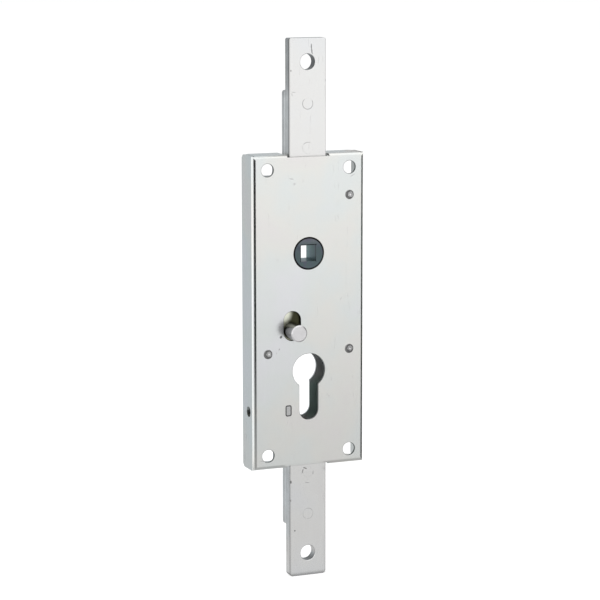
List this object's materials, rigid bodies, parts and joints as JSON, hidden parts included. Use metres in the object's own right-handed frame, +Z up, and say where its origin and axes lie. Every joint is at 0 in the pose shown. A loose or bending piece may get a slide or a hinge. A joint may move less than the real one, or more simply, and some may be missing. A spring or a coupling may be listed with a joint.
{
  "type": "multipoint door lock",
  "caption": "Flat rod lock: a spindle hub drives an upper and a lower rod by racks, and a cylinder or a snib pin moves a slide that blocks the hub.",
  "frame": {"origin": "the spindle's axis in the front face of the case plate", "axes": "+Z up along the rods, +Y into the door, +X to the right seen from the front"},
  "size_m": [0.0602, 0.0236, 0.2716],
  "materials": {
    "zinc_sheet": "bright zinc plated sheet, smooth",
    "galvanised_cover": "galvanised sheet",
    "zinc_bar": "bright zinc plated drawn bar",
    "zinc_rivet": "zinc plated, set flush",
    "zinc_turned": "turned and zinc plated",
    "zinc_screw": "zinc plated",
    "blued_hub": "blued steel",
    "passivated_slide": "yellow passivated zinc",
    "spring_wire": "bright spring steel wire"
  },
  "bodies": {
    "case": {"case_tray": "zinc_sheet", "back_cover": "galvanised_cover", "spacer_post_upper_right": "zinc_turned", "spacer_post_middle_left": "zinc_turned", "spacer_post_middle_right": "zinc_turned", "cover_screw_upper_right": "zinc_screw", "cover_screw_middle_left": "zinc_screw", "cover_screw_middle_right": "zinc_screw", "cylinder_screw_block": "zinc_turned", "toggle_spring": "spring_wire"},
    "hub": {"spindle_hub": "blued_hub", "locking_disc": "blued_hub", "pinion": "blued_hub"},
    "upper_rod": {"upper_slider": "zinc_bar", "upper_tip_bar": "zinc_bar", "upper_outer_rivet": "zinc_rivet", "upper_inner_rivet": "zinc_rivet"},
    "lower_rod": {"lower_slider": "zinc_bar", "lower_tip_bar": "zinc_bar", "lower_outer_rivet": "zinc_rivet", "lower_inner_rivet": "zinc_rivet"},
    "snib": {"lock_slide": "passivated_slide", "snib_pin": "zinc_turned"}
  },
  "joints": [
    {"name": "hub_turn", "type": "hinge", "parent": "case", "child": "hub", "pos_m": [0, 0.00685, 0], "axis": [0, -1, 0], "range_deg": [0, 90]},
    {"name": "upper_rod_travel", "type": "slide", "parent": "case", "child": "upper_rod", "axis": [0, 0, -1], "range_m": [0, 0.01885]},
    {"name": "lower_rod_travel", "type": "slide", "parent": "case", "child": "lower_rod", "axis": [0, 0, 1], "range_m": [0, 0.01885]},
    {"name": "snib_travel", "type": "slide", "parent": "case", "child": "snib", "axis": [0, 0, 1], "range_m": [0, 0.0052], "deforming": ["toggle_spring"]}
  ],
  "couplings": [
    {"joint": "hub_turn", "follows": "lower_rod_travel", "rad_per_m": 83.333},
    {"joint": "upper_rod_travel", "follows": "lower_rod_travel", "ratio": 1}
  ]
}
